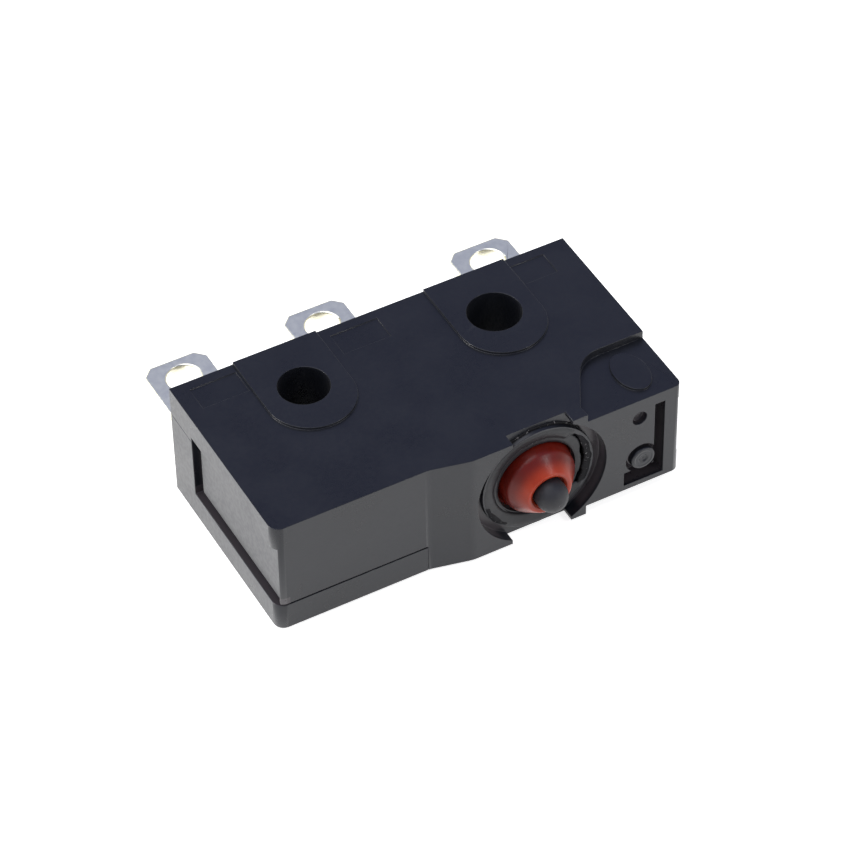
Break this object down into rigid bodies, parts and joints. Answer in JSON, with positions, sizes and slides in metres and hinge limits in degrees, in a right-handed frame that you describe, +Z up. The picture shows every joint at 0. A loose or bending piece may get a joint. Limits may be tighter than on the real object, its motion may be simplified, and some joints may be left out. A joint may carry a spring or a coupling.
{
  "type": "sealed subminiature micro switch",
  "caption": "Sealed snap-action switch: black moulded body with through mounting holes, a pin plunger under an orange rubber boot and solder terminals in a row.",
  "frame": {"origin": "axis of the left mounting hole, in the plane of the lower mounting pads", "axes": "+X along the body and the row of terminals, +Y towards the terminals (the plunger points to -Y), +Z up along the mounting holes"},
  "size_m": [0.0199, 0.0162, 0.0064],
  "materials": {
    "housing_plastic": "matte moulded",
    "retainer_plastic": "matte moulded",
    "seal_resin": "glossy",
    "boot_rubber": "satin silicone",
    "plunger_plastic": "satin",
    "terminal_metal": "plated, satin",
    "contact_alloy": "polished",
    "spring_bronze": "rolled strip",
    "lever_steel": "spring steel"
  },
  "bodies": {
    "housing": {"case": "housing_plastic", "base": "housing_plastic", "seam_seal_left": "seal_resin", "seam_seal_right": "seal_resin", "boot_retainer": "retainer_plastic", "rubber_boot": "boot_rubber", "nc_terminal": "terminal_metal", "no_terminal": "terminal_metal", "com_terminal": "terminal_metal", "nc_contact": "contact_alloy", "no_contact": "contact_alloy"},
    "plunger": {"plunger": "plunger_plastic"},
    "lever": {"operating_lever": "lever_steel"},
    "blade": {"moving_blade": "spring_bronze", "moving_contact_nc_side": "contact_alloy", "moving_contact_no_side": "contact_alloy"},
    "spring": {"snap_spring": "lever_steel"}
  },
  "joints": [
    {"name": "plunger_travel", "type": "slide", "parent": "housing", "child": "plunger", "axis": [0, 1, 0], "range_m": [0, 0.001], "stiffness_N_per_m": 1500, "springref_m": -0.0003, "deforming": ["rubber_boot"]},
    {"name": "lever_swing", "type": "hinge", "parent": "housing", "child": "lever", "pos_m": [0.01185, -0.0053, 0.0032], "axis": [0, 0, -1], "range_deg": [0, 14.2]},
    {"name": "blade_swing", "type": "hinge", "parent": "housing", "child": "blade", "pos_m": [0.01185, -0.0037, 0.0032], "axis": [0, 0, -1], "range_deg": [0, 1.67]},
    {"name": "spring_swing", "type": "hinge", "parent": "blade", "child": "spring", "pos_m": [0.0017, -0.00387, 0.0032], "axis": [0, 0, 1], "range_deg": [0, 1.54], "deforming": ["snap_spring"]}
  ],
  "couplings": [
    {"joint": "lever_swing", "follows": "plunger_travel", "rad_per_m": 247.83},
    {"joint": "blade_swing", "follows": "plunger_travel", "rad_per_m": 29.137},
    {"joint": "spring_swing", "follows": "plunger_travel", "rad_per_m": 26.868}
  ]
}
